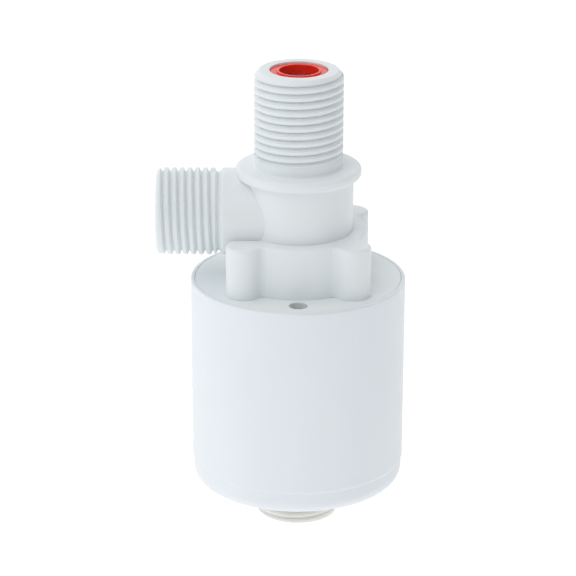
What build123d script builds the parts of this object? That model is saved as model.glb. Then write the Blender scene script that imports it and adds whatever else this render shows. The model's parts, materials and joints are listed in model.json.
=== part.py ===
from build123d import *
import os
from math import atan2, cos, degrees, sin

# A pilot-operated float valve.
#
# Water enters at the top through a red strainer and leaves through the side pipe. A rubber
# diaphragm under the seat is held shut by the water behind it until the pilot nozzle opens.
# The float in the cup below works the pilot lever: low float, open nozzle, open valve.
#
# Millimetres, +Z up. The origin is the centre of the collar's upper face, on the valve's
# axis. The outlet points along -X and the vent hole is on the -Y side. The valve is drawn
# hanging empty: float down, pilot lever down, diaphragm up against its seat.

# ---- driving dimensions -------------------------------------------------------------------

# heights, from the collar's upper face
INLET_H = 23.0
COLLAR_T = 2.35
BODY_H = 27.35
BONNET_H = 12.1
OUTLET_DROP = 11.25
CUP_H = 50.7
PORT_OUT = 9.3

SEAM_Z = -BODY_H
OUTLET_Z = -OUTLET_DROP
CUP_FLOOR_Z = SEAM_Z - CUP_H
PORT_END_Z = CUP_FLOOR_Z - PORT_OUT

# pipe threads, with the pitch of G 1/2, whose grooves are counted in half turns
PIPE_PITCH = 1.8143
PIPE_GROOVE = 1.0
INLET_R = 10.35
INLET_THREAD_FOOT = 2.7
INLET_FIRST_GROOVE = 2.88
INLET_HALVES = 21
INLET_RIM_H = 1.3
INLET_RIM_W = 1.2
SHANK_R = 10.05
OUTLET_R = 10.15
OUTLET_END_X = -32.95
OUTLET_THREAD_LENGTH = 14.35
OUTLET_FIRST_GROOVE = -14.10
OUTLET_HALVES = 15
OUTLET_CHAMFER = 0.8
RELIEF_OUTER = 0.65
RELIEF_INNER = 1.15
RELIEF_ROOT = 0.2

# every thread: the groove's width as a share of the pitch, the lower crest of its end turns,
# the flats where the mould's halves met and the cut's reach past the crest, as a share of its
# depth
MOUTH_SHARE = 0.6
ROOT_SHARE = 0.06
END_CREST_DROP = 0.16
MOULD_FLAT = 0.06
CUT_OVERRUN = 0.2

# how far the crest is lowered beside the end grooves: below the first two, above the last two
INLET_LOW_CRESTS = (1.0, 1.9)
INLET_TOP_CREST = 3.5
OUTLET_LOW_CRESTS = (0.6, 1.5)
OUTLET_TOP_CREST = 2.4
PORT_LOW_CRESTS = (2.5, 2.5)
PORT_TOP_CREST = 2.0

# valve body
COLLAR_R = 14.6
COLLAR_ROUND = 0.85
ROOT_ROUND = 0.5
NECK_R = 12.78
BONNET_R = 16.25
BONNET_ROUND = 0.6
LOBE_R = 4.1
LOBE_SPACING = 25.2
VALLEY_R = 1.6
BORE_R = 5.5
MOUTH_R = 6.8
MOUTH_DEPTH = 2.8
TUBE_R = 7.2
CHAMBER_R = 10.6
CHAMBER_ROOF = 1.7
CHAMBER_CORNER = 0.8
CAVITY_R = 11.2
CAVITY_H = 4.4
SEAT_H = 3.4
SEAT_TAPER = 0.5
OUTLET_BORE_R = 7.0
WAY_STOP = 0.3

# strainer
STRAINER_R = 6.65
STRAINER_BORE_R = 4.55
STRAINER_DROP = 0.4
STRAINER_FOOT_T = 0.9
LIP_H = 0.3
LIP_W = 0.7
SCREEN_T = 0.4
SCREEN_PITCH = 1.2
SCREEN_GAP = 0.8
SCREEN_ROWS = 7

# diaphragm and the plates that it is riveted between
DIAPHRAGM_R = 14.0
DIAPHRAGM_BEAD = 1.6
DIAPHRAGM_T = 1.45
WEB_T = 0.7
WEB_INNER_R = 9.5
WEB_OUTER_R = 10.9
SEAT_GAP = 0.05
TOP_PLATE_R = 4.9
TOP_PLATE_T = 1.1
SPRING_PLATE_R = 8.2
SPRING_PLATE_T = 1.2
SPRING_RIM_R = 6.7
SPRING_RIM_T = 0.8
SPRING_RIM_H = 1.2
WING_T = 0.9
WING_H = 4.5
WING_GAP = 0.3
RIVET_R = 1.6
RIVET_HEAD_R = 2.6
RIVET_HEAD_T = 0.9
RIVET_FOOT_R = 2.4
RIVET_FOOT_T = 0.7
BLEED_R = 0.4
SPRING_R = 5.0
SPRING_WIRE_R = 0.45
SPRING_TURNS = 4

# pilot plate
PLATE_R = 24.25
PLATE_T = 2.2
PLATE_CHAMFER = 0.1
HUB_DEPTH = 4.6
CONTROL_R = 11.0
CONTROL_DEPTH = 7.0
CONTROL_FLOOR = 2.0
CONTROL_WALL = 1.9
SPRING_BOSS_H = 1.0
SKIRT_R = 22.9
SKIRT_T = 1.0
SKIRT_DEPTH = 5.0
SNAP_UP = 0.9
SNAP_OUT = 0.25
VENT_R = 2.15
VENT_AT = 19.7
EAR_R = 2.3
EAR_T = 1.8
EAR_PLAY = 0.8

# clamp screws
SCREW_R = 1.5
SCREW_HEAD_R = 2.8
SCREW_HEAD_T = 1.8
SCREW_HEAD_ROUND = 0.7
SCREW_REACH = 8.5
SCREW_HOLE_SPARE = 0.5
SCREW_CLEARANCE = 0.15
CROSS_L = 3.0
CROSS_W = 0.7
CROSS_DEPTH = 1.1

# float cup
CUP_R = 25.2
CUP_DRAFT = 0.07
CUP_FOOT_R = 24.88
CUP_STEP_UP = 6.1
CUP_STEP_H = 0.5
CUP_BORE_R = 23.0
CUP_FLOOR_T = 2.0
CUP_CORNER_R = 3.4
CUP_STEP_ROUND = 0.35
CUP_RIM_ROUND = 0.3
CUP_INNER_ROUND = 1.5
RIM_BORE_R = 24.3

# level port
PORT_R = 9.7
PORT_NECK_R = 9.4
PORT_SHOULDER_LOW = 0.4
PORT_SHOULDER_HIGH = 0.1
PORT_BORE_R = 7.0
PORT_FLANGE_R = 12.5
PORT_FLANGE_T = 2.0
PORT_PITCH = 1.5
PORT_GROOVE = 0.85
PORT_FIRST_GROOVE = 0.975
PORT_HALVES = 10
PORT_END_ROUND = 1.0
GATE_W = 3.0
GATE_DEPTH = 1.0
WASHER_T = 1.0
WASHER_INSET = 0.3
GUIDE_DROP = 1.5
GUIDE_T = 2.4
GUIDE_RIM = 0.9
GUIDE_HUB = 1.3
GUIDE_ARM_W = 1.3

# float
FLOAT_R = 21.5
FLOAT_WALL = 1.2
FLOAT_TOP = 22.5
FLOAT_TRAVEL = 5.0
FLOAT_LOW_ROUND = 2.0
TUBE_WALL = 1.3
LID_T = 1.2
LID_ROUND = 0.5
SPIGOT_T = 1.2
SPIGOT_H = 1.5

# stem with its fork and clip
STEM_R = 1.6
STEM_SPARE = 1.2
STEM_CHAMFER = 0.4
FORK_PLAY = 0.4
FORK_CHEEK = 1.4
FORK_R = 1.9
FORK_FLOOR = 1.0
FORK_FOOT_W = 5.2
CLIP_GROOVE = 0.4
CLIP_T = 0.6
CLIP_OUT = 1.4
CLIP_MOUTH_W = 1.8

# pilot nozzle
NOZZLE_X = -7.0
NOZZLE_TIP = 12.0
NOZZLE_R = 1.6
NOZZLE_BORE_R = 0.5
NOZZLE_LIP_R = 1.0
NOZZLE_CONE_H = 1.5
NOZZLE_HEAD_R = 2.15
NOZZLE_HEAD_T = 0.8

# pilot lever: the link pin is this far from the hinge, and swings as far above it as below
PIVOT_X = -12.0
PIVOT_DEPTH = 14.0
LEVER_W = 3.6
LEVER_T = 2.7
LEVER_PIN_R = 1.0
LINK_PIN_R = 0.8
LEVER_PIN_SPARE = 0.4
LINK_PIN_SPARE = 0.3
PIN_CHAMFER = 0.2
SLOT_GAP = 0.08
LUG_R = 1.9
BAR_SPARE = 2.0
PADDLE_RIM = 1.0
PAD_R = 2.15
PAD_T = 1.6

# gaps between pieces
RUNNING_GAP = 0.05
FIXED_GAP = 0.02

# ---- sizes that follow from them ----------------------------------------------------------

PIVOT_Z = SEAM_Z - PIVOT_DEPTH
LINK_ARM = -PIVOT_X
LINK_RISE = FLOAT_TRAVEL / 2
LEVER_SWING = 2 * atan2(LINK_RISE, LINK_ARM)
LINK_Z = PIVOT_Z - LINK_RISE
FLOAT_TOP_Z = SEAM_Z - FLOAT_TOP
CUP_INSIDE_Z = CUP_FLOOR_Z + CUP_FLOOR_T
SNAP_Z = SEAM_Z - SKIRT_DEPTH + SNAP_UP
PORT_FLANGE_Z = CUP_INSIDE_Z + WASHER_T
FLOAT_LOW_Z = PORT_FLANGE_Z + PORT_FLANGE_T + RUNNING_GAP
CHAMBER_TOP_Z = -COLLAR_T - CHAMBER_ROOF
SEAT_Z = SEAM_Z + SEAT_H
RUBBER_TOP_Z = SEAT_Z - SEAT_GAP
RUBBER_LOW_Z = RUBBER_TOP_Z - DIAPHRAGM_T
CONTROL_FLOOR_Z = SEAM_Z - CONTROL_DEPTH
NOZZLE_TIP_Z = SEAM_Z - NOZZLE_TIP

outlet_plane = Plane(origin=(OUTLET_END_X, 0, OUTLET_Z), x_dir=(0, 0, 1), z_dir=(-1, 0, 0))

os.makedirs("parts", exist_ok=True)


def at_radius(radius):
    """A selector for the corners of a profile that stand this far from the axis."""
    return lambda corner: abs(corner.X - radius) < 0.001


def half_turns(outline, radius, pitch, low, halves):
    """Half turns of a right-hand screw about +Z that carry an outline, given as (out, down).

    Half turn 0 starts on +X at the height low.
    """
    with BuildPart() as cutter:
        with BuildLine() as path:
            Helix(pitch=pitch, height=pitch / 2, radius=radius, center=(0, 0, low))
        with BuildSketch(Plane(origin=(radius, 0, low), x_dir=(1, 0, 0), z_dir=(0, 1, 0))):
            with BuildLine():
                Polyline(*outline, close=True)
            make_face()
        sweep(path=path.line, is_frenet=True)
    return [Pos(0, 0, half * pitch / 2) * Rot(0, 0, 180 * half) * cutter.part for half in halves]


def thread_cuts(crest_r, depth, pitch, low, first, count, below, above):
    """The cuts that leave a thread on a cylinder, to be made one by one.

    A V groove runs for count half turns from half turn first, at its place on a screw that
    passes +X at the height low. The crest is lowered beside the end grooves: below each of the
    first two for the heights in below, and above each of the last two for the height above.
    """
    half_root = ROOT_SHARE * pitch / 2
    half_mouth = MOUTH_SHARE * pitch / 2
    overrun = CUT_OVERRUN * depth
    half_outer = half_mouth + (half_mouth - half_root) * overrun / depth
    last = first + count - 1
    groove = [
        (overrun, half_outer),
        (overrun, -half_outer),
        (-depth, -half_root),
        (-depth, half_root),
    ]
    cuts = half_turns(groove, crest_r, pitch, low, range(first, last + 1))
    for half, reach in zip((first, first + 1), below):
        band = [(overrun, 0), (overrun, reach), (-END_CREST_DROP, reach), (-END_CREST_DROP, 0)]
        cuts += half_turns(band, crest_r, pitch, low, [half])
    band = [(overrun, 0), (overrun, -above), (-END_CREST_DROP, -above), (-END_CREST_DROP, 0)]
    cuts += half_turns(band, crest_r, pitch, low, [last - 1, last])
    return cuts


def lobed_outline():
    """The bonnet's outline: a disc with a lobe round each of the four screws."""
    with BuildSketch() as outline:
        Circle(BONNET_R)
        with GridLocations(LOBE_SPACING, LOBE_SPACING, 2, 2):
            Circle(LOBE_R)
        valleys = outline.vertices().filter_by(
            lambda v: abs(Vector(v).length - BONNET_R) < 0.001 and abs(v.Y) > 1
        )
        fillet(valleys, VALLEY_R)
    return outline.sketch


# ---- valve body ---------------------------------------------------------------------------

RELIEF_X = OUTLET_END_X + OUTLET_THREAD_LENGTH

inlet_thread = thread_cuts(
    crest_r=INLET_R,
    depth=PIPE_GROOVE,
    pitch=PIPE_PITCH,
    low=INLET_FIRST_GROOVE - PIPE_PITCH / 2,
    first=1,
    count=INLET_HALVES,
    below=INLET_LOW_CRESTS,
    above=INLET_TOP_CREST,
)
outlet_thread = thread_cuts(
    crest_r=OUTLET_R,
    depth=PIPE_GROOVE,
    pitch=PIPE_PITCH,
    low=OUTLET_FIRST_GROOVE,
    first=0,
    count=OUTLET_HALVES,
    below=OUTLET_LOW_CRESTS,
    above=OUTLET_TOP_CREST,
)

with BuildPart() as valve_body:
    # bonnet
    with BuildSketch(Plane.XY.offset(SEAM_Z)):
        add(lobed_outline())
    extrude(amount=BONNET_H)
    fillet(valve_body.faces().sort_by(Axis.Z)[-1].edges(), BONNET_ROUND)

    # neck, collar, shank and inlet pipe
    with BuildSketch(Plane.XZ) as stack:
        with BuildLine():
            Polyline(
                (0, SEAM_Z + BONNET_H / 2),
                (NECK_R, SEAM_Z + BONNET_H / 2),
                (NECK_R, -COLLAR_T),
                (COLLAR_R, -COLLAR_T),
                (COLLAR_R, 0),
                (SHANK_R, 0),
                (SHANK_R, INLET_THREAD_FOOT - INLET_R + SHANK_R),
                (INLET_R, INLET_THREAD_FOOT),
                (INLET_R, INLET_H - INLET_RIM_H),
                (INLET_R - INLET_RIM_W, INLET_H),
                (0, INLET_H),
                close=True,
            )
        make_face()
        fillet(stack.vertices().filter_by(at_radius(COLLAR_R)), COLLAR_ROUND)
        fillet(stack.vertices().filter_by(at_radius(SHANK_R)).sort_by(Axis.Y)[0], ROOT_ROUND)
        fillet(stack.vertices().filter_by(at_radius(INLET_R - INLET_RIM_W)), ROOT_ROUND)
    revolve(axis=Axis.Z)

    # outlet pipe
    with BuildSketch(outlet_plane):
        Circle(OUTLET_R)
    extrude(amount=OUTLET_END_X)
    chamfer(valve_body.edges().sort_by(Axis.X)[0], OUTLET_CHAMFER)

    # inlet bore: a wide mouth for the strainer, then the bore down to the seat
    with BuildSketch(Plane.XY.offset(INLET_H)):
        Circle(MOUTH_R)
    extrude(amount=-MOUTH_DEPTH, mode=Mode.SUBTRACT)
    with BuildSketch(Plane.XY.offset(INLET_H)):
        Circle(BORE_R)
    extrude(amount=-(INLET_H - SEAM_Z), mode=Mode.SUBTRACT)

    # chamber round the seat tube, open below over the diaphragm
    with BuildSketch(Plane.XZ):
        with BuildLine():
            Polyline(
                (0, SEAM_Z),
                (CAVITY_R, SEAM_Z),
                (CAVITY_R, SEAM_Z + CAVITY_H),
                (CHAMBER_R, SEAM_Z + CAVITY_H + CAVITY_R - CHAMBER_R),
                (CHAMBER_R, CHAMBER_TOP_Z - CHAMBER_CORNER),
                (CHAMBER_R - CHAMBER_CORNER, CHAMBER_TOP_Z),
                (TUBE_R + CHAMBER_CORNER, CHAMBER_TOP_Z),
                (TUBE_R, CHAMBER_TOP_Z - CHAMBER_CORNER),
                (TUBE_R, SEAT_Z + SEAT_TAPER),
                (TUBE_R - SEAT_TAPER, SEAT_Z),
                (0, SEAT_Z),
                close=True,
            )
        make_face()
    revolve(axis=Axis.Z, mode=Mode.SUBTRACT)
    with BuildSketch(outlet_plane):
        Circle(OUTLET_BORE_R)
    extrude(amount=OUTLET_END_X + TUBE_R + WAY_STOP, mode=Mode.SUBTRACT)

    # blind holes for the clamp screws
    with BuildSketch(Plane.XY.offset(SEAM_Z)):
        with GridLocations(LOBE_SPACING, LOBE_SPACING, 2, 2):
            Circle(SCREW_R)
    extrude(amount=SCREW_REACH + SCREW_HOLE_SPARE, mode=Mode.SUBTRACT)

    # threads; the outlet's ends in a ring groove
    with BuildSketch(Plane.XZ):
        with BuildLine():
            Polyline(
                (RELIEF_X - RELIEF_OUTER, OUTLET_Z + OUTLET_R),
                (RELIEF_X + RELIEF_INNER, OUTLET_Z + OUTLET_R),
                (RELIEF_X + RELIEF_ROOT / 2, OUTLET_Z + OUTLET_R - PIPE_GROOVE - RUNNING_GAP),
                (RELIEF_X - RELIEF_ROOT / 2, OUTLET_Z + OUTLET_R - PIPE_GROOVE - RUNNING_GAP),
                close=True,
            )
        make_face()
    revolve(axis=Axis((0, 0, OUTLET_Z), (1, 0, 0)), mode=Mode.SUBTRACT)
    for cut in inlet_thread:
        add(cut, mode=Mode.SUBTRACT)
    for cut in outlet_thread:
        add(outlet_plane * cut, mode=Mode.SUBTRACT)
    for side in (-1, 1):
        with BuildSketch(Plane.YZ.offset(side * (INLET_R - MOULD_FLAT))):
            with Locations((0, (INLET_H + INLET_THREAD_FOOT) / 2)):
                Rectangle(INLET_R, INLET_H - INLET_THREAD_FOOT)
        extrude(amount=side, mode=Mode.SUBTRACT)
        with BuildSketch(Plane.XY.offset(OUTLET_Z + side * (OUTLET_R - MOULD_FLAT))):
            with Locations(((OUTLET_END_X + RELIEF_X) / 2, 0)):
                Rectangle(OUTLET_THREAD_LENGTH, OUTLET_R)
        extrude(amount=side, mode=Mode.SUBTRACT)
valve_body.part.label = "valve_body"
export_step(valve_body.part, "parts/valve_body.step")

# ---- strainer -----------------------------------------------------------------------------

STRAINER_TOP_Z = INLET_H - STRAINER_DROP
SCREEN_Z = INLET_H - MOUTH_DEPTH
STRAINER_FOOT_Z = SCREEN_Z + SCREEN_T

with BuildPart() as inlet_strainer:
    with BuildSketch(Plane.XZ) as strainer_wall:
        with BuildLine():
            Polyline(
                (STRAINER_R, STRAINER_TOP_Z),
                (STRAINER_R, STRAINER_FOOT_Z + STRAINER_FOOT_T),
                (MOUTH_R - FIXED_GAP, STRAINER_FOOT_Z + STRAINER_FOOT_T),
                (MOUTH_R - FIXED_GAP, STRAINER_FOOT_Z),
                (STRAINER_BORE_R, STRAINER_FOOT_Z),
                (STRAINER_BORE_R, STRAINER_TOP_Z + LIP_H),
                (STRAINER_BORE_R + LIP_W, STRAINER_TOP_Z + LIP_H),
                (STRAINER_BORE_R + LIP_W, STRAINER_TOP_Z),
                close=True,
            )
        make_face()
        fillet(strainer_wall.vertices().group_by(Axis.Y)[-1], LIP_H / 2)
    revolve(axis=Axis.Z)
inlet_strainer.part.label = "inlet_strainer"
export_step(inlet_strainer.part, "parts/inlet_strainer.step")

with BuildPart() as strainer_screen:
    with BuildSketch(Plane.XY.offset(SCREEN_Z)):
        Circle(STRAINER_R)
        with GridLocations(SCREEN_PITCH, SCREEN_PITCH, SCREEN_ROWS, SCREEN_ROWS):
            Rectangle(SCREEN_GAP, SCREEN_GAP, mode=Mode.SUBTRACT)
    extrude(amount=SCREEN_T)
strainer_screen.part.label = "strainer_screen"
export_step(strainer_screen.part, "parts/strainer_screen.step")

# ---- diaphragm assembly -------------------------------------------------------------------

with BuildPart() as main_diaphragm:
    with BuildSketch(Plane.XZ):
        with BuildLine():
            Polyline(
                (RIVET_R + FIXED_GAP, RUBBER_TOP_Z),
                (WEB_INNER_R, RUBBER_TOP_Z),
                (WEB_OUTER_R, SEAM_Z),
                (DIAPHRAGM_R, SEAM_Z),
                (DIAPHRAGM_R, SEAM_Z - DIAPHRAGM_BEAD),
                (CONTROL_R, SEAM_Z - DIAPHRAGM_BEAD),
                (WEB_OUTER_R - WEB_T, SEAM_Z - WEB_T),
                (WEB_INNER_R - WEB_T, RUBBER_LOW_Z),
                (RIVET_R + FIXED_GAP, RUBBER_LOW_Z),
                close=True,
            )
        make_face()
    revolve(axis=Axis.Z)
main_diaphragm.part.label = "main_diaphragm"
export_step(main_diaphragm.part, "parts/main_diaphragm.step")

WING_Z = RUBBER_TOP_Z + TOP_PLATE_T

with BuildPart() as diaphragm_top_plate:
    with BuildSketch(Plane.XY.offset(RUBBER_TOP_Z)):
        Circle(TOP_PLATE_R)
        Circle(RIVET_R + FIXED_GAP, mode=Mode.SUBTRACT)
    extrude(amount=TOP_PLATE_T)
    # four wings that slide in the inlet bore
    with BuildSketch(Plane.XY.offset(WING_Z)):
        Rectangle(2 * BORE_R, WING_T)
        Rectangle(WING_T, 2 * BORE_R)
        Circle(RIVET_HEAD_R + WING_GAP, mode=Mode.SUBTRACT)
        Circle(BORE_R - RUNNING_GAP, mode=Mode.INTERSECT)
    extrude(amount=WING_H)
diaphragm_top_plate.part.label = "diaphragm_top_plate"
export_step(diaphragm_top_plate.part, "parts/diaphragm_top_plate.step")

with BuildPart() as diaphragm_spring_plate:
    with BuildSketch(Plane.XY.offset(RUBBER_LOW_Z)):
        Circle(SPRING_PLATE_R)
        Circle(RIVET_R + FIXED_GAP, mode=Mode.SUBTRACT)
    extrude(amount=-SPRING_PLATE_T)
    # rim round the spring
    with BuildSketch(Plane.XY.offset(RUBBER_LOW_Z - SPRING_PLATE_T)):
        Circle(SPRING_RIM_R)
        Circle(SPRING_RIM_R - SPRING_RIM_T, mode=Mode.SUBTRACT)
    extrude(amount=-SPRING_RIM_H)
diaphragm_spring_plate.part.label = "diaphragm_spring_plate"
export_step(diaphragm_spring_plate.part, "parts/diaphragm_spring_plate.step")

RIVET_LOW_Z = RUBBER_LOW_Z - SPRING_PLATE_T

with BuildPart() as bleed_rivet:
    with BuildSketch(Plane.XZ):
        with BuildLine():
            Polyline(
                (BLEED_R, WING_Z + RIVET_HEAD_T),
                (RIVET_R, WING_Z + RIVET_HEAD_T),
                (RIVET_HEAD_R, WING_Z + RIVET_HEAD_T / 2),
                (RIVET_HEAD_R, WING_Z),
                (RIVET_R, WING_Z),
                (RIVET_R, RIVET_LOW_Z),
                (RIVET_FOOT_R, RIVET_LOW_Z),
                (RIVET_FOOT_R, RIVET_LOW_Z - RIVET_FOOT_T),
                (BLEED_R, RIVET_LOW_Z - RIVET_FOOT_T),
                close=True,
            )
        make_face()
    revolve(axis=Axis.Z)
bleed_rivet.part.label = "bleed_rivet"
export_step(bleed_rivet.part, "parts/bleed_rivet.step")

SPRING_LOW_Z = CONTROL_FLOOR_Z + SPRING_WIRE_R
SPRING_HIGH_Z = RIVET_LOW_Z - SPRING_WIRE_R

with BuildPart() as diaphragm_spring:
    with BuildLine() as coil:
        Helix(
            pitch=(SPRING_HIGH_Z - SPRING_LOW_Z) / SPRING_TURNS,
            height=SPRING_HIGH_Z - SPRING_LOW_Z,
            radius=SPRING_R,
            center=(0, 0, SPRING_LOW_Z),
        )
    with BuildSketch(Plane(origin=coil.line @ 0, z_dir=coil.line % 0)):
        Circle(SPRING_WIRE_R)
    sweep(path=coil.line, is_frenet=True)
diaphragm_spring.part.label = "diaphragm_spring"
export_step(diaphragm_spring.part, "parts/diaphragm_spring.step")

# ---- pilot plate --------------------------------------------------------------------------

EAR_GAP = LEVER_W / 2 + EAR_PLAY

with BuildPart() as pilot_plate:
    with BuildSketch(Plane.XY.offset(SEAM_Z)):
        Circle(PLATE_R)
    extrude(amount=-PLATE_T)
    chamfer(pilot_plate.faces().sort_by(Axis.Z)[-1].edges(), PLATE_CHAMFER)
    with BuildSketch(Plane.XY.offset(SEAM_Z - PLATE_T)):
        add(lobed_outline())
    extrude(amount=PLATE_T - HUB_DEPTH)
    with BuildSketch(Plane.XY.offset(SEAM_Z - PLATE_T)):
        Circle(CONTROL_R + CONTROL_WALL)
    extrude(amount=PLATE_T - CONTROL_DEPTH - CONTROL_FLOOR)

    # skirt that centres the plate in the cup, with its snap bead
    with BuildSketch(Plane.XZ):
        with BuildLine():
            Polyline(
                (SKIRT_R - SKIRT_T, SEAM_Z - PLATE_T),
                (SKIRT_R, SEAM_Z - PLATE_T),
                (SKIRT_R, SNAP_Z + SNAP_OUT),
                (SKIRT_R + SNAP_OUT, SNAP_Z),
                (SKIRT_R - SNAP_OUT, SEAM_Z - SKIRT_DEPTH),
                (SKIRT_R - SKIRT_T, SEAM_Z - SKIRT_DEPTH),
                close=True,
            )
        make_face()
    revolve(axis=Axis.Z)

    # two ears for the lever's hinge pin
    for side in (-1, 1):
        with BuildSketch(Plane.XZ.offset(side * (EAR_GAP + EAR_T / 2))):
            with Locations((PIVOT_X, PIVOT_Z)):
                Circle(EAR_R)
            with Locations((PIVOT_X, (PIVOT_Z + SEAM_Z - PLATE_T) / 2)):
                Rectangle(2 * EAR_R, PIVOT_DEPTH - PLATE_T)
            with Locations((PIVOT_X, PIVOT_Z)):
                Circle(LEVER_PIN_R + FIXED_GAP, mode=Mode.SUBTRACT)
        extrude(amount=EAR_T / 2, both=True)

    # recess for the diaphragm's bead and control chamber with a boss inside the spring
    with BuildSketch(Plane.XY.offset(SEAM_Z)):
        Circle(DIAPHRAGM_R + FIXED_GAP)
    extrude(amount=-DIAPHRAGM_BEAD, mode=Mode.SUBTRACT)
    with BuildSketch(Plane.XY.offset(SEAM_Z)):
        Circle(CONTROL_R)
    extrude(amount=-CONTROL_DEPTH, mode=Mode.SUBTRACT)
    with BuildSketch(Plane.XY.offset(CONTROL_FLOOR_Z)):
        Circle(SPRING_R - 2 * SPRING_WIRE_R)
    extrude(amount=SPRING_BOSS_H)

    # holes: pilot nozzle, clamp screws and vent
    with BuildSketch(Plane.XY.offset(CONTROL_FLOOR_Z)):
        with Locations((NOZZLE_X, 0)):
            Circle(NOZZLE_HEAD_R + RUNNING_GAP)
    extrude(amount=-NOZZLE_HEAD_T, mode=Mode.SUBTRACT)
    with BuildSketch(Plane.XY.offset(CONTROL_FLOOR_Z)):
        with Locations((NOZZLE_X, 0)):
            Circle(NOZZLE_R + FIXED_GAP)
    extrude(amount=-CONTROL_FLOOR, mode=Mode.SUBTRACT)
    with BuildSketch(Plane.XY.offset(SEAM_Z)):
        with GridLocations(LOBE_SPACING, LOBE_SPACING, 2, 2):
            Circle(SCREW_R + SCREW_CLEARANCE)
        with Locations((0, -VENT_AT)):
            Circle(VENT_R)
    extrude(amount=-HUB_DEPTH, mode=Mode.SUBTRACT)
pilot_plate.part.label = "pilot_plate"
export_step(pilot_plate.part, "parts/pilot_plate.step")

with BuildPart() as pilot_nozzle:
    with BuildSketch(Plane.XZ):
        with BuildLine():
            Polyline(
                (NOZZLE_X + NOZZLE_BORE_R, CONTROL_FLOOR_Z),
                (NOZZLE_X + NOZZLE_HEAD_R, CONTROL_FLOOR_Z),
                (NOZZLE_X + NOZZLE_HEAD_R, CONTROL_FLOOR_Z - NOZZLE_HEAD_T),
                (NOZZLE_X + NOZZLE_R, CONTROL_FLOOR_Z - NOZZLE_HEAD_T),
                (NOZZLE_X + NOZZLE_R, NOZZLE_TIP_Z + NOZZLE_CONE_H),
                (NOZZLE_X + NOZZLE_LIP_R, NOZZLE_TIP_Z),
                (NOZZLE_X + NOZZLE_BORE_R, NOZZLE_TIP_Z),
                close=True,
            )
        make_face()
    revolve(axis=Axis((NOZZLE_X, 0, 0), (0, 0, 1)))
pilot_nozzle.part.label = "pilot_nozzle"
export_step(pilot_nozzle.part, "parts/pilot_nozzle.step")

with BuildPart() as clamp_screws:
    with BuildSketch(Plane.XY.offset(SEAM_Z - HUB_DEPTH)):
        with GridLocations(LOBE_SPACING, LOBE_SPACING, 2, 2):
            Circle(SCREW_HEAD_R)
    extrude(amount=-SCREW_HEAD_T)
    fillet(clamp_screws.faces().group_by(Axis.Z)[0].edges(), SCREW_HEAD_ROUND)
    with BuildSketch(Plane.XY.offset(SEAM_Z - HUB_DEPTH)):
        with GridLocations(LOBE_SPACING, LOBE_SPACING, 2, 2):
            Circle(SCREW_R - FIXED_GAP)
    extrude(amount=HUB_DEPTH + SCREW_REACH)
    # cross recesses
    with BuildSketch(Plane.XY.offset(SEAM_Z - HUB_DEPTH - SCREW_HEAD_T)):
        with GridLocations(LOBE_SPACING, LOBE_SPACING, 2, 2):
            Rectangle(CROSS_L, CROSS_W)
            Rectangle(CROSS_W, CROSS_L)
    extrude(amount=CROSS_DEPTH, mode=Mode.SUBTRACT)
clamp_screws.part.label = "clamp_screws"
export_step(clamp_screws.part, "parts/clamp_screws.step")

# ---- float cup and level port -------------------------------------------------------------

with BuildPart() as float_cup:
    with BuildSketch(Plane.XZ) as cup_wall:
        with BuildLine():
            Polyline(
                (PORT_NECK_R + RUNNING_GAP, CUP_FLOOR_Z),
                (CUP_FOOT_R, CUP_FLOOR_Z),
                (CUP_FOOT_R, CUP_FLOOR_Z + CUP_STEP_UP - CUP_STEP_H),
                (CUP_R - CUP_DRAFT, CUP_FLOOR_Z + CUP_STEP_UP),
                (CUP_R, SEAM_Z),
                (RIM_BORE_R, SEAM_Z),
                (RIM_BORE_R, SEAM_Z - PLATE_T),
                (CUP_BORE_R, SEAM_Z - PLATE_T),
                (CUP_BORE_R, SNAP_Z + 2 * SNAP_OUT),
                (CUP_BORE_R + SNAP_OUT, SNAP_Z),
                (CUP_BORE_R, SNAP_Z - 2 * SNAP_OUT),
                (CUP_BORE_R, CUP_INSIDE_Z),
                (PORT_NECK_R + RUNNING_GAP, CUP_INSIDE_Z),
                close=True,
            )
        make_face()
        low_corners = cup_wall.vertices().filter_by(at_radius(CUP_FOOT_R)).sort_by(Axis.Y)
        fillet(low_corners[0], CUP_CORNER_R)
        step_corner = cup_wall.vertices().filter_by(at_radius(CUP_R - CUP_DRAFT))
        fillet(step_corner, CUP_STEP_ROUND)
        rim_corners = cup_wall.vertices().filter_by(at_radius(CUP_R))
        fillet(rim_corners, CUP_RIM_ROUND)
        inner_corner = cup_wall.vertices().filter_by(at_radius(CUP_BORE_R)).sort_by(Axis.Y)
        fillet(inner_corner[0], CUP_INNER_ROUND)
    revolve(axis=Axis.Z)
float_cup.part.label = "float_cup"
export_step(float_cup.part, "parts/float_cup.step")

port_thread = thread_cuts(
    crest_r=PORT_R,
    depth=PORT_GROOVE,
    pitch=PORT_PITCH,
    low=PORT_END_Z + PORT_FIRST_GROOVE - PORT_PITCH / 2,
    first=1,
    count=PORT_HALVES,
    below=PORT_LOW_CRESTS,
    above=PORT_TOP_CREST,
)

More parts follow.
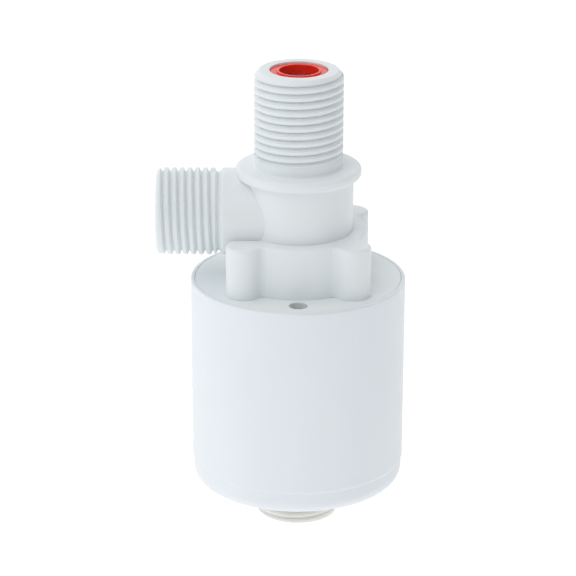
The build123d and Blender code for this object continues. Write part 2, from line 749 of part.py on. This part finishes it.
with BuildPart() as level_port:
    with BuildSketch(Plane.XZ) as port_wall:
        with BuildLine():
            Polyline(
                (PORT_BORE_R, PORT_END_Z),
                (PORT_R, PORT_END_Z),
                (PORT_R, CUP_FLOOR_Z - PORT_SHOULDER_LOW),
                (PORT_NECK_R, CUP_FLOOR_Z - PORT_SHOULDER_HIGH),
                (PORT_NECK_R, PORT_FLANGE_Z),
                (PORT_FLANGE_R, PORT_FLANGE_Z),
                (PORT_FLANGE_R, PORT_FLANGE_Z + PORT_FLANGE_T),
                (PORT_BORE_R, PORT_FLANGE_Z + PORT_FLANGE_T),
                close=True,
            )
        make_face()
        low_corner = port_wall.vertices().filter_by(at_radius(PORT_R)).sort_by(Axis.Y)[0]
        fillet(low_corner, PORT_END_ROUND)
    revolve(axis=Axis.Z)
    for cut in port_thread:
        add(cut, mode=Mode.SUBTRACT)
    for side in (-1, 1):
        with BuildSketch(Plane.YZ.offset(side * (PORT_R - MOULD_FLAT))):
            with Locations((0, (PORT_END_Z + CUP_FLOOR_Z) / 2)):
                Rectangle(PORT_R, PORT_OUT)
        extrude(amount=side, mode=Mode.SUBTRACT)
    # slots that let water under the resting float
    with BuildSketch(Plane.XY.offset(PORT_FLANGE_Z + PORT_FLANGE_T)):
        Rectangle(3 * PORT_FLANGE_R, GATE_W)
        Rectangle(GATE_W, 3 * PORT_FLANGE_R)
    extrude(amount=-GATE_DEPTH, mode=Mode.SUBTRACT)
level_port.part.label = "level_port"
export_step(level_port.part, "parts/level_port.step")

with BuildPart() as port_washer:
    with BuildSketch(Plane.XY.offset(CUP_INSIDE_Z)):
        Circle(PORT_FLANGE_R - WASHER_INSET)
        Circle(PORT_NECK_R + RUNNING_GAP, mode=Mode.SUBTRACT)
    extrude(amount=WASHER_T)
port_washer.part.label = "port_washer"
export_step(port_washer.part, "parts/port_washer.step")

GUIDE_Z = CUP_FLOOR_Z - GUIDE_DROP

with BuildPart() as stem_guide:
    with BuildSketch(Plane.XY.offset(GUIDE_Z)):
        Circle(PORT_BORE_R - FIXED_GAP)
        Circle(PORT_BORE_R - GUIDE_RIM, mode=Mode.SUBTRACT)
        with PolarLocations(0, 3):
            with Locations((PORT_BORE_R / 2, 0)):
                Rectangle(PORT_BORE_R - GUIDE_RIM, GUIDE_ARM_W)
        Circle(STEM_R + GUIDE_HUB)
        Circle(STEM_R + RUNNING_GAP, mode=Mode.SUBTRACT)
    extrude(amount=-GUIDE_T)
stem_guide.part.label = "stem_guide"
export_step(stem_guide.part, "parts/stem_guide.step")

# ---- float --------------------------------------------------------------------------------

LID_LOW_Z = FLOAT_TOP_Z - LID_T

with BuildPart() as float_shell:
    with BuildSketch(Plane.XZ) as shell_wall:
        with BuildLine():
            Polyline(
                (STEM_R + FIXED_GAP, FLOAT_LOW_Z),
                (FLOAT_R, FLOAT_LOW_Z),
                (FLOAT_R, LID_LOW_Z),
                (FLOAT_R - FLOAT_WALL, LID_LOW_Z),
                (FLOAT_R - FLOAT_WALL, FLOAT_LOW_Z + FLOAT_WALL),
                (STEM_R + TUBE_WALL, FLOAT_LOW_Z + FLOAT_WALL),
                (STEM_R + TUBE_WALL, LID_LOW_Z),
                (STEM_R + FIXED_GAP, LID_LOW_Z),
                close=True,
            )
        make_face()
        fillet(shell_wall.vertices().filter_by(at_radius(FLOAT_R)).sort_by(Axis.Y)[0], FLOAT_LOW_ROUND)
    revolve(axis=Axis.Z)
float_shell.part.label = "float_shell"
export_step(float_shell.part, "parts/float_shell.step")

with BuildPart() as float_lid:
    with BuildSketch(Plane.XY.offset(LID_LOW_Z)):
        Circle(FLOAT_R)
        Circle(STEM_R + FIXED_GAP, mode=Mode.SUBTRACT)
    extrude(amount=LID_T)
    fillet(float_lid.edges().group_by(Axis.Z)[-1].sort_by(SortBy.LENGTH)[-1], LID_ROUND)
    # spigot that centres the lid in the shell
    with BuildSketch(Plane.XY.offset(LID_LOW_Z)):
        Circle(FLOAT_R - FLOAT_WALL - FIXED_GAP)
        Circle(FLOAT_R - FLOAT_WALL - SPIGOT_T, mode=Mode.SUBTRACT)
    extrude(amount=-SPIGOT_H)
float_lid.part.label = "float_lid"
export_step(float_lid.part, "parts/float_lid.step")

FORK_GAP = LEVER_W / 2 + FORK_PLAY
FORK_FOOT_X = FORK_FOOT_W / 2
STEM_END_Z = GUIDE_Z - GUIDE_T - STEM_SPARE

with BuildPart() as float_stem:
    with BuildSketch(Plane.XY.offset(FLOAT_TOP_Z)):
        Circle(STEM_R)
    extrude(amount=STEM_END_Z - FLOAT_TOP_Z)
    chamfer(float_stem.edges().sort_by(Axis.Z)[0], STEM_CHAMFER)
    # fork for the link pin
    with BuildSketch(Plane.XY.offset(FLOAT_TOP_Z)):
        Rectangle(FORK_FOOT_W, 2 * (FORK_GAP + FORK_CHEEK))
    extrude(amount=FORK_FLOOR)
    for side in (-1, 1):
        with BuildSketch(Plane.XZ.offset(side * (FORK_GAP + FORK_CHEEK / 2))):
            with BuildLine():
                Polyline(
                    (FORK_R, LINK_Z),
                    (FORK_FOOT_X, FLOAT_TOP_Z),
                    (-FORK_FOOT_X, FLOAT_TOP_Z),
                    (-FORK_R, LINK_Z),
                )
                ThreePointArc((-FORK_R, LINK_Z), (0, LINK_Z + FORK_R), (FORK_R, LINK_Z))
            make_face()
            with Locations((0, LINK_Z)):
                Circle(LINK_PIN_R + FIXED_GAP, mode=Mode.SUBTRACT)
        extrude(amount=FORK_CHEEK / 2, both=True)
    # groove for the clip
    with BuildSketch(Plane.XY.offset(FLOAT_LOW_Z)):
        Circle(STEM_R + CLIP_OUT)
        Circle(STEM_R - CLIP_GROOVE, mode=Mode.SUBTRACT)
    extrude(amount=-CLIP_T, mode=Mode.SUBTRACT)
float_stem.part.label = "float_stem"
export_step(float_stem.part, "parts/float_stem.step")

with BuildPart() as stem_clip:
    with BuildSketch(Plane.XY.offset(FLOAT_LOW_Z)):
        Circle(STEM_R + CLIP_OUT)
        Circle(STEM_R - CLIP_GROOVE + FIXED_GAP, mode=Mode.SUBTRACT)
        with Locations((STEM_R + CLIP_GROOVE, 0)):
            Rectangle(2 * STEM_R, CLIP_MOUTH_W, mode=Mode.SUBTRACT)
    extrude(amount=-CLIP_T)
stem_clip.part.label = "stem_clip"
export_step(stem_clip.part, "parts/stem_clip.step")

with BuildPart() as link_pin:
    with BuildSketch(Plane.XZ):
        with Locations((0, LINK_Z)):
            Circle(LINK_PIN_R)
    extrude(amount=FORK_GAP + FORK_CHEEK + LINK_PIN_SPARE, both=True)
    chamfer(link_pin.edges().filter_by(GeomType.CIRCLE), PIN_CHAMFER)
link_pin.part.label = "link_pin"
export_step(link_pin.part, "parts/link_pin.step")

# ---- pilot lever --------------------------------------------------------------------------

# the lever's own frame: x along the bar from the hinge, y square to it, swung down to rest
lever_plane = Plane(
    origin=(PIVOT_X, 0, PIVOT_Z),
    x_dir=(cos(LEVER_SWING), 0, -sin(LEVER_SWING)),
    z_dir=(0, -1, 0),
)
pad_plane = Plane(
    origin=lever_plane.from_local_coords((NOZZLE_X - PIVOT_X, LEVER_T / 2, 0)),
    x_dir=(0, 1, 0),
    z_dir=lever_plane.y_dir,
)
PAD_TOP = PIVOT_DEPTH - NOZZLE_TIP - SEAT_GAP - LEVER_T / 2

# the pin's place in the slot at the ends and at the middle of the swing
LINK_MID_X = LINK_ARM * cos(LEVER_SWING / 2)
LINK_MID_Y = LINK_ARM * sin(LEVER_SWING / 2)
LINK_X = (LINK_ARM + LINK_MID_X) / 2
LINK_Y = (LINK_RISE + LINK_MID_Y) / 2

with BuildPart() as pilot_lever:
    with BuildSketch(lever_plane):
        Circle(EAR_R)
        with Locations((LINK_X / 2, 0)):
            Rectangle(LINK_X + 2 * BAR_SPARE, LEVER_T)
        with Locations((LINK_X, LINK_Y)):
            Circle(LUG_R)
        with Locations((LINK_X, LINK_Y / 2)):
            Rectangle(2 * LUG_R, LINK_Y)
        Circle(LEVER_PIN_R + RUNNING_GAP, mode=Mode.SUBTRACT)
        with Locations((LINK_X, LINK_Y)):
            SlotCenterToCenter(
                LINK_ARM - LINK_MID_X + RUNNING_GAP, 2 * (LINK_PIN_R + SLOT_GAP), mode=Mode.SUBTRACT
            )
    extrude(amount=LEVER_W / 2, both=True)
    # round paddle with a pocket for the rubber pad
    with BuildSketch(pad_plane):
        Circle(PAD_R + PADDLE_RIM)
    extrude(amount=-LEVER_T)
    with BuildSketch(pad_plane):
        Circle(PAD_R + FIXED_GAP)
    extrude(amount=PAD_TOP - PAD_T, mode=Mode.SUBTRACT)
pilot_lever.part.label = "pilot_lever"
export_step(pilot_lever.part, "parts/pilot_lever.step")

with BuildPart() as pilot_pad:
    with BuildSketch(pad_plane.offset(PAD_TOP)):
        Circle(PAD_R)
    extrude(amount=-PAD_T)
pilot_pad.part.label = "pilot_pad"
export_step(pilot_pad.part, "parts/pilot_pad.step")

with BuildPart() as lever_pin:
    with BuildSketch(Plane.XZ):
        with Locations((PIVOT_X, PIVOT_Z)):
            Circle(LEVER_PIN_R)
    extrude(amount=EAR_GAP + EAR_T + LEVER_PIN_SPARE, both=True)
    chamfer(lever_pin.edges().filter_by(GeomType.CIRCLE), PIN_CHAMFER)
lever_pin.part.label = "lever_pin"
export_step(lever_pin.part, "parts/lever_pin.step")

print(f"pilot lever swing {degrees(LEVER_SWING):.3f} deg over {FLOAT_TRAVEL} mm of float travel")
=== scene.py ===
import json
from math import cos, radians, sin

import bpy
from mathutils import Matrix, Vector


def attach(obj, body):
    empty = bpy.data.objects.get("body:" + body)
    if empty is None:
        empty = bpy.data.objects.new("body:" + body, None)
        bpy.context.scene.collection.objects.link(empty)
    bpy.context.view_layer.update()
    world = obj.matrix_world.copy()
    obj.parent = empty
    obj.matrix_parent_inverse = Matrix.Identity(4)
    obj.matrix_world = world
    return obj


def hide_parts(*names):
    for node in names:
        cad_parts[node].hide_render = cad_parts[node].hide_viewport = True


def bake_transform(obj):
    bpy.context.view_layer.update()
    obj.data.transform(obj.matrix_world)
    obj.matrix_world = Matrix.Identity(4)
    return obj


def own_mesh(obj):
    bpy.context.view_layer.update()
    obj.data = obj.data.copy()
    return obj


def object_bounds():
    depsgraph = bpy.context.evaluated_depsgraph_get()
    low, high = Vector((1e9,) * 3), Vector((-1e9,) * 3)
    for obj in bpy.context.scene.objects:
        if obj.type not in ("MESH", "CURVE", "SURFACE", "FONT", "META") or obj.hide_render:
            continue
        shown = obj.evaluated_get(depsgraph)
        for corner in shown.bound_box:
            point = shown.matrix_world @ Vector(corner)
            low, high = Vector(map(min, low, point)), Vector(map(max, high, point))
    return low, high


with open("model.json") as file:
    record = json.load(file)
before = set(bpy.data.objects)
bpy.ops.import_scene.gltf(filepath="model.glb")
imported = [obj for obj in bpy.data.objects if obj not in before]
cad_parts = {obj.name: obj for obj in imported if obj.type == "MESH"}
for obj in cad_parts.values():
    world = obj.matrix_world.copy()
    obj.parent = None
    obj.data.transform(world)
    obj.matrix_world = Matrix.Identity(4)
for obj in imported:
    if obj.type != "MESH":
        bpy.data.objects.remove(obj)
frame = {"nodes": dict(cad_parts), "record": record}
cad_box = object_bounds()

# A white moulded plastic float valve with a red strainer in its mouth and a cream level port
# below. Metres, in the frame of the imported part: the origin is the centre of the collar's
# upper face, the outlet points along -X and the vent hole is on the -Y side.

MM = 0.001
LIGHT_AIM = Vector((0, 0, -30 * MM))


# ---- materials ----------------------------------------------------------------------------

class Surface:
    """A node material being put together: its tree, its shader and its object coordinates."""

    def __init__(self, name, **sockets):
        self.material = bpy.data.materials.new(name)
        self.material.use_nodes = True
        self.tree = self.material.node_tree
        self.shader = self.tree.nodes["Principled BSDF"]
        self.place = self.add("ShaderNodeTexCoord").outputs["Object"]
        for socket, value in sockets.items():
            self.shader.inputs[socket.replace("_", " ")].default_value = value

    def add(self, kind, **settings):
        """A new node. A setting that names an input sets it, and any other sets the node."""
        node = self.tree.nodes.new(kind)
        for key, value in settings.items():
            label = key.replace("_", " ")
            if label in node.inputs:
                node.inputs[label].default_value = value
            else:
                setattr(node, key, value)
        return node

    def link(self, source, target):
        self.tree.links.new(source, target)

    def noise(self, scale, detail=2.0, roughness=0.5, stretch=(1, 1, 1)):
        """Noise in object space, its scale in features per metre."""
        mapping = self.add("ShaderNodeMapping")
        mapping.inputs["Scale"].default_value = stretch
        self.link(self.place, mapping.inputs["Vector"])
        texture = self.add("ShaderNodeTexNoise", Scale=scale, Detail=detail, Roughness=roughness)
        self.link(mapping.outputs["Vector"], texture.inputs["Vector"])
        return texture.outputs["Fac"]

    def remap(self, value, low, high):
        """A value of 0.3 to 0.7, where noise mostly lies, spread over low to high."""
        node = self.add("ShaderNodeMapRange")
        node.inputs["From Min"].default_value = 0.3
        node.inputs["From Max"].default_value = 0.7
        node.inputs["To Min"].default_value = low
        node.inputs["To Max"].default_value = high
        self.link(value, node.inputs["Value"])
        return node.outputs["Result"]

    def between(self, value, first, second):
        """A colour between two, by a value of 0.3 to 0.7."""
        ramp = self.add("ShaderNodeValToRGB")
        ramp.color_ramp.elements[0].position = 0.3
        ramp.color_ramp.elements[0].color = (*first, 1)
        ramp.color_ramp.elements[1].position = 0.7
        ramp.color_ramp.elements[1].color = (*second, 1)
        self.link(value, ramp.inputs["Fac"])
        return ramp.outputs["Color"]

    def bump(self, value, height, below=None):
        """Raise the surface by a value of 0 to 1 times height, in metres."""
        node = self.add("ShaderNodeBump", Strength=1.0, Distance=height)
        self.link(value, node.inputs["Height"])
        if below is not None:
            self.link(below, node.inputs["Normal"])
        return node.outputs["Normal"]

    def rounded_edges(self, radius, samples):
        """Normals that catch the light as if every edge were rounded by radius, in metres."""
        return self.add("ShaderNodeBevel", Radius=radius, samples=samples).outputs["Normal"]

    def set(self, socket, source):
        self.link(source, self.shader.inputs[socket])


def moulded_plastic(name, light, dark, roughness=(0.36, 0.5)):
    """Moulded plastic: fine pitted skin, faint flow clouds and softly rounded edges."""
    s = Surface(name, IOR=1.46, Subsurface_Weight=0.12, Subsurface_Scale=1.2 * MM)
    s.shader.inputs["Subsurface Radius"].default_value = (1.0, 0.95, 0.9)
    clouds = s.noise(45, detail=3.0, stretch=(1, 1, 0.35))
    s.set("Base Color", s.between(clouds, dark, light))
    s.set("Roughness", s.remap(s.noise(260, detail=4.0), *roughness))
    waves = s.bump(s.noise(120), 0.012 * MM, below=s.rounded_edges(0.25 * MM, samples=6))
    s.set("Normal", s.bump(s.noise(3200, detail=3.0), 0.006 * MM, below=waves))
    return s.material


def glossy_red(name):
    """Smooth red plastic that light sinks into a little, so that its shadows stay red."""
    s = Surface(name, IOR=1.49, Subsurface_Weight=0.15, Subsurface_Scale=1.5 * MM)
    s.shader.inputs["Subsurface Radius"].default_value = (1.0, 0.12, 0.08)
    s.set("Base Color", s.between(s.noise(300), (0.80, 0.022, 0.008), (0.92, 0.030, 0.011)))
    s.set("Roughness", s.remap(s.noise(900, detail=3.0), 0.10, 0.22))
    edges = s.rounded_edges(0.15 * MM, samples=6)
    s.set("Normal", s.bump(s.noise(500), 0.01 * MM, below=edges))
    return s.material


def metal(name, light, dark, roughness):
    """Bare metal with a faintly mottled polish."""
    s = Surface(name, Metallic=1.0)
    s.set("Base Color", s.between(s.noise(700), dark, light))
    s.set("Roughness", s.remap(s.noise(1500, detail=4.0), *roughness))
    edges = s.rounded_edges(0.08 * MM, samples=4)
    s.set("Normal", s.bump(s.noise(4000), 0.004 * MM, below=edges))
    return s.material


def rubber(name):
    """Matt black rubber with a fine grain."""
    s = Surface(name, IOR=1.5, Sheen_Weight=0.15, Sheen_Roughness=0.5)
    mottle = s.noise(400, detail=4.0)
    s.set("Base Color", s.between(mottle, (0.012, 0.012, 0.013), (0.03, 0.03, 0.032)))
    s.set("Roughness", s.remap(s.noise(900, detail=4.0), 0.55, 0.8))
    s.set("Normal", s.bump(s.noise(3500, detail=3.0), 0.02 * MM))
    return s.material


MATERIALS = {
    "body_plastic": moulded_plastic("body_plastic", (0.84, 0.885, 0.905), (0.81, 0.86, 0.88)),
    "plate_plastic": moulded_plastic("plate_plastic", (0.84, 0.885, 0.90), (0.81, 0.86, 0.875)),
    "cup_plastic": moulded_plastic("cup_plastic", (0.84, 0.89, 0.93), (0.81, 0.865, 0.91)),
    "cream_plastic": moulded_plastic("cream_plastic", (0.92, 0.915, 0.88), (0.89, 0.885, 0.84)),
    "float_plastic": moulded_plastic("float_plastic", (0.82, 0.82, 0.79), (0.78, 0.78, 0.75)),
    "acetal": moulded_plastic("acetal", (0.85, 0.85, 0.82), (0.8, 0.8, 0.77), (0.25, 0.35)),
    "red_plastic": glossy_red("red_plastic"),
    "black_rubber": rubber("black_rubber"),
    "brass": metal("brass", (0.80, 0.60, 0.28), (0.70, 0.50, 0.20), (0.2, 0.35)),
    "screw_steel": metal("screw_steel", (0.66, 0.66, 0.66), (0.54, 0.54, 0.55), (0.2, 0.35)),
    "spring_steel": metal("spring_steel", (0.60, 0.60, 0.61), (0.48, 0.48, 0.49), (0.25, 0.4)),
    "steel_mesh": metal("steel_mesh", (0.55, 0.55, 0.55), (0.42, 0.42, 0.42), (0.3, 0.45)),
}


def paint_cad_nodes():
    """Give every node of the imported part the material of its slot."""
    for subpart in frame["record"]["subparts"]:
        node = frame["nodes"][subpart["node"]]
        node.data.materials.clear()
        node.data.materials.append(MATERIALS[subpart["material_slot"]])


def soft_copy(node_name):
    """A piece of the same shape and material as a node, on its own copy of the node's mesh,
    which stands for it while the node is hidden.
    """
    node = frame["nodes"][node_name]
    piece = bpy.data.objects.new("soft_" + node_name, node.data.copy())
    piece.matrix_world = node.matrix_world
    bpy.context.collection.objects.link(piece)
    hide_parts(node_name)
    return piece


def rolling_diaphragm():
    """A copy of the diaphragm that stands for its node, with its placement baked into its mesh.
    """
    diaphragm = soft_copy("main_diaphragm")
    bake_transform(diaphragm)


def closing_spring():
    """A copy of the spring that stands for its node, attached to the housing with a mesh of its
    own.
    """
    spring = soft_copy("diaphragm_spring")
    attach(spring, "housing")
    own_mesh(spring)


# ---- stage, light and camera --------------------------------------------------------------

def white_floor():
    """A pale floor under the valve, wide enough to fill the view."""
    size = 4.0
    bpy.ops.mesh.primitive_plane_add(size=size, location=(0, size / 4, cad_box[0][2]))
    floor = bpy.context.object
    floor.name = "floor"
    s = Surface("floor_paper", Roughness=0.9, Emission_Strength=0.84)
    s.shader.inputs["Emission Color"].default_value = (1, 1, 1, 1)
    s.set("Base Color", s.between(s.noise(3.0), (0.24, 0.24, 0.24), (0.27, 0.27, 0.27)))
    floor.data.materials.append(s.material)


def soft_light(name, place, size, power):
    """A round soft lamp, in metres and watts, aimed at the middle of the valve."""
    data = bpy.data.lights.new(name, "AREA")
    data.shape = "DISK"
    data.size = size
    data.energy = power
    lamp = bpy.data.objects.new(name, data)
    bpy.context.collection.objects.link(lamp)
    lamp.location = place
    lamp.rotation_euler = (LIGHT_AIM - lamp.location).to_track_quat("-Z", "Y").to_euler()


def studio_light():
    """Bright paper behind the valve, a darker room in front of it and three soft lamps."""
    world = bpy.data.worlds.new("studio")
    bpy.context.scene.world = world
    world.use_nodes = True
    background = world.node_tree.nodes["Background"]
    background.inputs["Color"].default_value = (1, 1, 1, 1)
    tree = world.node_tree
    direction = tree.nodes.new("ShaderNodeTexCoord").outputs["Generated"]
    backward = tree.nodes.new("ShaderNodeVectorMath")
    backward.operation = "DOT_PRODUCT"
    backward.inputs[1].default_value = (-0.35, 0.94, 0.0)
    fade = tree.nodes.new("ShaderNodeMapRange")
    fade.inputs["From Min"].default_value = -1
    fade.inputs["To Min"].default_value = 0.35
    fade.inputs["To Max"].default_value = 1.0
    tree.links.new(direction, backward.inputs[0])
    tree.links.new(backward.outputs["Value"], fade.inputs["Value"])
    tree.links.new(fade.outputs["Result"], background.inputs["Strength"])
    soft_light("left", (-0.9, 0.0, 0.35), 0.8, 0.3)
    soft_light("top", (-0.3, -0.1, 0.9), 0.9, 1.0)
    soft_light("front", (-0.3, -0.6, 0.65), 0.7, 1.5)


def look_from_the_front():
    """A long lens in front of the valve, looking down on it by about 20 degrees."""
    pitch = radians(20.65)
    roll = radians(0.175)
    distance = 0.640
    aim = Vector((-2.37 * MM, 0, -30.44 * MM))
    data = bpy.data.cameras.new("camera")
    data.sensor_width = 36
    data.lens = 169.7
    data.clip_start = 0.01
    camera = bpy.data.objects.new("camera", data)
    bpy.context.collection.objects.link(camera)
    camera.location = aim + distance * Vector((0, -cos(pitch), sin(pitch)))
    turn = (aim - camera.location).to_track_quat("-Z", "Y")
    camera.rotation_euler = turn.to_euler()
    camera.rotation_euler.rotate_axis("Z", roll)
    bpy.context.scene.camera = camera


paint_cad_nodes()
rolling_diaphragm()
closing_spring()
white_floor()
studio_light()
look_from_the_front()
bpy.context.scene.view_settings.view_transform = "Standard"
